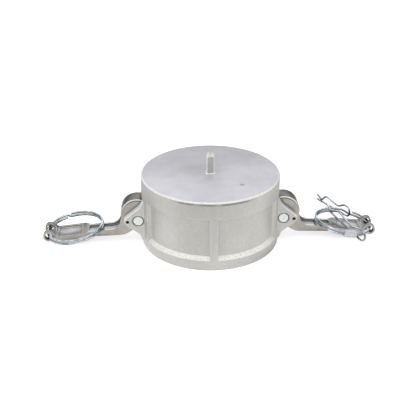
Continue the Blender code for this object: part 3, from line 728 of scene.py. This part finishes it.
# Cam lever: eccentric cam head, channelled arm, pocketed finger grip and a forked eye for the ring
lever = {"width": 12.6, "fillet": 8, "filletOut": 0.6, "top": -11.1, "topEnd": -12.7, "bottom": -16.2,
         "bottomEnd": -16.8, "heel": ((14.5, 0), (11.2, 0.5), (8.2, 1.9), (4.6, 4.4)), "length": 41,
         "flare": (4.0, 2.6), "corner": 3, "grip": 19, "tip": 17.2, "gripTop": -15, "gripBottom": -18.4,
         "gripEnd": 64.25, "eye": (70.7, -15), "eyeRadius": 2.85, "lug": 4.1,
         "forkStart": 65.5, "forkPast": 9, "fork": 9.6, "forkCorner": 1.5, "channel": 1.5, "rim": 1.7,
         "pocket": (45.5, 63), "pocketWall": 2.1, "pocketDepth": 1.5, "pocketCorner": 1.0,
         "blank": 26, "edge": 0.7}


def armTopLine():
    middle = (cam["centre"][0] + cam["radius"] + lever["fillet"] + lever["filletOut"],
              lever["top"] + lever["fillet"])
    return (arcPoints(cam["centre"], cam["radius"], 20, -10, 6)
            + arcPoints(middle, lever["fillet"], 190, 270, 12)
            + [(lever["length"], lever["topEnd"]), (lever["gripEnd"], lever["gripTop"])])


def leverOutline():
    flatTurn = degrees(acos((cam["flat"] - cam["centre"][0]) / cam["radius"]))
    under = [(lever["gripEnd"], lever["gripBottom"]),
             (lever["length"] - lever["flare"][0], lever["bottomEnd"]),
             *[(u, lever["bottom"] + w) for u, w in lever["heel"]]]
    return (arcPoints(cam["centre"], cam["radius"], flatTurn, 26, 32) + armTopLine()
            + arcPoints(lever["eye"], lever["lug"], 120, -110, 24) + under
            + arcPoints(cam["centre"], cam["radius"], -92, -flatTurn, 12))


def leverPlan():
    arm, grip, corner = lever["width"] / 2, lever["grip"] / 2, lever["corner"]
    start = lever["length"] - lever["flare"][0]
    half = ([(-cam["radius"] - past, arm), (start, arm)]
            + arcPoints((start, arm + corner), corner, 270, 315, 6)[1:]
            + arcPoints((lever["length"] + lever["flare"][1], grip - corner), corner, 135, 90, 6)
            + [(lever["eye"][0] + lever["lug"] + past, lever["tip"] / 2)])
    return half + [(x, -y) for x, y in reversed(half)]


def channelOutline():
    line = [Vector(p) for p in armTopLine()[1:-1]]
    line[-1] += (line[-2] - line[-1]).normalized() * lever["rim"]
    inner, outer = [], []
    for k, point in enumerate(line):
        along = (line[min(k + 1, len(line) - 1)] - line[max(k - 1, 0)]).normalized()
        normal = Vector((-along.y, along.x))
        inner.append(tuple(point - normal * lever["channel"]))
        outer.append(tuple(point + normal * past))
    return outer + inner[::-1]


def makeLever(side):
    slope = (lever["gripTop"] - lever["topEnd"]) / (lever["gripEnd"] - lever["length"])
    floor = [(u, lever["topEnd"] + slope * (u - lever["length"]) - lever["pocketDepth"])
             for u in lever["pocket"]]
    pocket = sideBlock(floor + [(lever["pocket"][1], 0), (lever["pocket"][0], 0)],
                       lever["pocketWall"] - lever["grip"] / 2, lever["grip"] / 2 - lever["pocketWall"])
    deep = [edge for edge in pocket.edges if abs(edge.verts[0].co.z) > 1 and abs(edge.verts[1].co.z) > 1
            or abs(edge.verts[0].co.z - edge.verts[1].co.z) > 1]
    roundEdges(pocket, deep, lever["pocketCorner"], 3)
    channel = lever["width"] / 2 - lever["rim"]
    locked = (pivot["clipHole"][1], -pivot["clipHole"][0])
    blank = carved(sideBlock(leverOutline(), -lever["grip"], lever["grip"]),
                   [("INTERSECT", planBlock(leverPlan(), -lever["blank"], lever["blank"]))])
    rims = [edge for edge in blank.edges if len(edge.link_faces) == 2
            and max(abs(face.normal.y) for face in edge.link_faces) > 0.9
            and min(abs(face.normal.y) for face in edge.link_faces) < 0.2]
    roundEdges(blank, rims, lever["edge"], 3)
    fork = roundedPlan(lever["forkStart"], lever["eye"][0] + lever["forkPast"], lever["fork"] / 2,
                       lever["forkCorner"])
    bm = carved(blank, [
        ("DIFFERENCE", sideBlock(channelOutline(), -channel, channel)),
        ("DIFFERENCE", pocket),
        ("DIFFERENCE", planBlock(fork, -lever["blank"], 0)),
        ("DIFFERENCE", crossBar((0, 0), pivot["hole"] / 2, lever["grip"])),
        ("DIFFERENCE", crossBar(lever["eye"], lever["eyeRadius"], lever["grip"], 32)),
        ("DIFFERENCE", crossBar(locked, pivot["clipBore"] / 2, lever["grip"], 24))])
    bmesh.ops.translate(bm, vec=(pivot["out"], 0, pivot["up"]), verts=bm.verts)
    return finishPiece(halfTurn(bm, side), side + "CamLever", ["lever"], side + "_lever",
                       side + "_cam_lever")


# Pivot pin: cropped bar with a broken edge and the shallow dimple of the lathe's centre
pin = {"radius": 3.95, "half": 14.25, "edge": 0.5, "dome": 0.12, "dimple": 0.7}


def makePin(side):
    r, h, c = pin["radius"], pin["half"], pin["edge"]
    end = [(0, h - pin["dimple"] * 0.5), (pin["dimple"], h), (r * 0.6, h - pin["dome"] * 0.3),
           *arcPoints((r - c, h - pin["dome"] - c), c, 90, 0, 4)]
    bm = spunShape(end + [(x, -z) for x, z in reversed(end)], 48)
    bmesh.ops.rotate(bm, matrix=Matrix.Rotation(pi / 2, 3, "X"), verts=bm.verts)
    bmesh.ops.translate(bm, vec=(pivot["out"], 0, pivot["up"]), verts=bm.verts)
    return finishPiece(halfTurn(bm, side), side + "CroppedPin", ["pin"], side + "_pivot_pin", "cap")


# Split ring: two turns of plated wire, with one step between them, where the two ends stop
ring = {"radius": 21.8, "wire": 1.8, "set": 1.0, "pitch": 2.4, "step": radians(3), "tilt": radians(8.6405),
        "eye": (127.1, 0, 7.1)}
ringSides = {"right": {"roll": radians(-2.3), "split": radians(72), "jog": radians(12),
                       "ends": radians(15)},
             "left": {"roll": radians(-2.5), "split": radians(-72), "jog": radians(6), "ends": radians(4)}}


def ringPoint(turn, level=0.0):
    centre = ring["set"] - ring["radius"]
    return Vector((centre + ring["radius"] * cos(turn), ring["radius"] * sin(turn), level))


def ringPlace(side):
    lean = Matrix.Rotation(ring["tilt"], 4, "Y") @ Matrix.Rotation(ringSides[side]["roll"], 4, "X")
    turned = Matrix.Rotation(pi if side == "left" else 0, 4, "Z")
    return turned @ Matrix.Translation(ring["eye"]) @ lean


def makeRing(side):
    own = ringSides[side]
    start = own["split"] + own["ends"]
    whole = 2 * tau - 2 * own["ends"]
    change = tau - own["jog"] - own["ends"]
    count = ceil(whole / ring["step"])
    points = []
    for k in range(count + 1):
        run = whole * k / count
        blend = min(max((run - change) / (2 * own["jog"]), 0), 1)
        blend = blend * blend * (3 - 2 * blend)
        points.append(ringPlace(side) @ ringPoint(start + run, ring["pitch"] * (blend - 0.5)))
    return finishPiece(drawnWire(points, ring["wire"]), side + "SplitRing", ["wire"], side + "_ring",
                       side + "_finger_ring", 40)


for side in ("right", "left"):
    makeLever(side)
    makePin(side)
    makeRing(side)
print("levers, pins and rings fitted")

# Spring clip: straight leg, round head and a waved leg that snaps over the straight one
clip = {"wire": 1.6, "head": 4.2, "length": 43, "pinch": 0.84, "end": 0.0,
        "wave": ((0.10, 3.6), (0.27, 0.4), (0.45, 1.1), (0.64, 2.3), (0.74, 0.9))}
clipPlaces = {"upper": {"at": radians(70), "outset": 0, "lift": 0.8, "yaw": radians(114),
                        "droop": radians(4.6)},
              "lower": {"at": radians(-67), "outset": 3.5, "lift": 0.4, "yaw": radians(120),
                        "droop": radians(-13.3)}}


def makeClip(name):
    place = clipPlaces[name]
    low = -clip["head"]
    knots = ([(0, clip["head"])] + [(clip["length"] * share, height) for share, height in clip["wave"]]
             + [(clip["length"] * clip["pinch"], low + clip["wire"] + fit), (clip["length"], clip["end"])])
    flat = ([(clip["length"] * (1 - k / 4), low) for k in range(4)]
            + arcPoints((0, 0), clip["head"], 270, 90, 28) + smoothThrough(knots, 8)[1:])
    at = place["at"]
    hang = ringPlace("right") @ (ringPoint(at) + Vector((cos(at), sin(at), 0)) * place["outset"]
                                 + Vector((0, 0, place["lift"])))
    aim = Matrix.Rotation(place["yaw"], 3, "Z") @ Matrix.Rotation(place["droop"], 3, "Y")
    points = [hang + aim @ Vector((x, 0, z)) for x, z in flat]
    return finishPiece(drawnWire(points, clip["wire"]), name + "SpringClip", ["wire"], name + "_clip",
                       name + "_safety_clip", 40)


for name in clipPlaces:
    makeClip(name)
print("clips bent")

# Crimped sleeve: a flat-sided tube pressed round both turns of the right ring
sleeve = {"inner": (1.2, 2.25), "outer": (1.7, 2.75), "length": 9.4, "at": radians(-86), "corner": 0.5,
          "steps": 12}


def makeSleeve():
    bm = bmesh.new()
    rims = []
    for wide, tall in (sleeve["outer"], sleeve["inner"]):
        c = sleeve["corner"]
        loop = []
        for x, z, start in ((wide - c, tall - c, 0), (c - wide, tall - c, 90), (c - wide, c - tall, 180),
                            (wide - c, c - tall, 270)):
            loop += arcPoints((x, z), c, start, start + 90, 4)
        corners = [bm.verts.new((ring["radius"] + x, 0, z)) for x, z in loop]
        rims += [bm.edges.new(pair) for pair in zip(corners, corners[1:] + corners[:1])]
    section = bmesh.ops.bridge_loops(bm, edges=rims)["faces"]
    span = sleeve["length"] / ring["radius"]
    bmesh.ops.rotate(bm, matrix=Matrix.Rotation(sleeve["at"] - span / 2, 3, "Z"), verts=bm.verts)
    leaveTwin(bm, section)
    parts = set(section) | {e for f in section for e in f.edges} | {v for f in section for v in f.verts}
    spinRound(bm, list(parts), span, sleeve["steps"])
    bmesh.ops.recalc_face_normals(bm, faces=bm.faces)
    mapped = bm.loops.layers.uv.new("alongAndRound")
    for face in bm.faces:
        for corner in face.loops:
            x, y, z = corner.vert.co
            along = (atan2(y, x) - sleeve["at"]) * ring["radius"]
            across = z if abs(face.normal.z) < 0.7 else hypot(x, y) - ring["radius"]
            corner[mapped].uv = (along, across)
    bmesh.ops.translate(bm, vec=(ring["set"] - ring["radius"], 0, 0), verts=bm.verts)
    bmesh.ops.transform(bm, matrix=ringPlace("right"), verts=bm.verts)
    return finishPiece(bm, "crimpedSleeve", ["crimp"], "crimp_sleeve", "right_finger_ring")


makeSleeve()
print("sleeve crimped")

# Pale floor and plain soft light: a big sheet of light overhead and to the front, white all round
studio = {"floor": 3.0, "floorColour": "#C4C4C4", "floorGlow": 0.7, "floorSheen": 1.05, "floorDrop": 0.05,
          "shade": 0.12, "shadeAt": (100, 25), "shadeReach": (28, 52), "back": 0.45, "backReach": (70, 150),
          "lee": 0.5, "leeReach": (66, 57), "leeAcross": (20, 48),
          "horizon": 0.12, "horizonBand": (0.05, 0.45), "sky": 1.3, "roof": 0.45, "roofBand": (0.62, 0.88),
          "dark": 0.22, "darkBand": (-0.8, -0.55), "backdrop": 1.05,
          "key": 7.9, "keySize": (2.2, 1.2), "keyAway": 1.3, "keyRise": 63, "keySide": -8}


def makeFloor():
    bm = bmesh.new()
    bmesh.ops.create_grid(bm, x_segments=1, y_segments=1, size=studio["floor"] / 2)
    floor = meshObject(bm, "paleFloor")
    floor.location.z = -studio["floorDrop"] * mm
    material = bpy.data.materials.new("paleFloor")
    material.use_nodes = True
    tree = material.node_tree
    tree.nodes.remove(tree.nodes["Principled BSDF"])
    matt = addNode(tree, "BsdfDiffuse", {"Color": studio["floorColour"]})
    glow = addNode(tree, "Emission", {"Color": "#FFFFFF", "Strength": studio["floorGlow"]})
    lit = addNode(tree, "AddShader", (matt, glow))
    # In reflections the floor is dim behind the part, and under the levers and rings that shade it
    place = addNode(tree, "TexCoord").outputs["Object"]
    apart = addNode(tree, "SeparateXYZ", (place,))
    outwards = addNode(tree, "Math", (apart.outputs["X"],), operation="ABSOLUTE")
    across = addNode(tree, "CombineXYZ", {"X": outwards, "Y": apart.outputs["Y"]})
    away = addNode(tree, "VectorMath", (across, inMetres((*studio["shadeAt"], 0))), operation="DISTANCE")
    shade = addNode(tree, "MapRange", (away, *inMetres(studio["shadeReach"]), studio["shade"], 1),
                    interpolation_type="SMOOTHSTEP")
    behind = addNode(tree, "MapRange", (apart.outputs["Y"], *inMetres(studio["backReach"]),
                                        studio["floorSheen"], studio["back"]))
    strength = addNode(tree, "Math", (shade, behind), operation="MULTIPLY")
    # The cup's own shade lies on the floor along its right-hand side, away from the light
    close = addNode(tree, "VectorMath", (place,), operation="LENGTH")
    close = addNode(tree, "MapRange", (close, *inMetres(studio["leeReach"]), 0, studio["lee"]))
    right = addNode(tree, "MapRange", (apart.outputs["X"], *inMetres(studio["leeAcross"])))
    lee = addNode(tree, "Math", (close, right), operation="MULTIPLY")
    lee = addNode(tree, "Math", (1, lee), operation="SUBTRACT")
    strength = addNode(tree, "Math", (strength, lee), operation="MULTIPLY")
    dimmed = addNode(tree, "Emission", {"Color": "#FFFFFF", "Strength": strength})
    seen = addNode(tree, "LightPath").outputs["Is Camera Ray"]
    shown = addNode(tree, "MixShader", (seen, dimmed, lit))
    plugIn(tree, tree.nodes["Material Output"], {"Surface": shown})
    floor.data.materials.append(material)


def makeSky():
    world = bpy.data.worlds.new("softStudio")
    world.use_nodes = True
    scene.world = world
    tree = world.node_tree
    seen = addNode(tree, "LightPath").outputs["Is Camera Ray"]
    apart = addNode(tree, "SeparateXYZ", (addNode(tree, "TexCoord").outputs["Generated"],))
    rising = addNode(tree, "MapRange", (apart.outputs["Z"], *studio["horizonBand"], studio["horizon"],
                                        studio["sky"]))
    falling = addNode(tree, "MapRange", (apart.outputs["Z"], *studio["roofBand"], 1, studio["roof"]))
    level = addNode(tree, "Math", (rising, falling), operation="MULTIPLY")
    # The unlit room behind the camera, which draws the dark lines in the wires
    room = addNode(tree, "MapRange", (apart.outputs["Y"], *studio["darkBand"], studio["dark"], 1))
    level = addNode(tree, "Math", (level, room), operation="MULTIPLY")
    shown = addNode(tree, "MapRange", (seen, 0, 1, level, studio["backdrop"]))
    plugIn(tree, tree.nodes["Background"], {"Color": "#FFFFFF", "Strength": shown})


def makeKey():
    data = bpy.data.lights.new("overheadSheet", "AREA")
    data.shape = "RECTANGLE"
    data.size, data.size_y = studio["keySize"]
    data.energy = studio["key"]
    key = bpy.data.objects.new("overheadSheet", data)
    scene.collection.objects.link(key)
    way = wayTo(studio["keySide"], studio["keyRise"])
    key.location = way * studio["keyAway"]
    key.rotation_mode = "QUATERNION"
    key.rotation_quaternion = way.to_track_quat("Z", "Y")


makeFloor()
makeSky()
makeKey()
scene.view_settings.view_transform = "Standard"
print("studio lit")
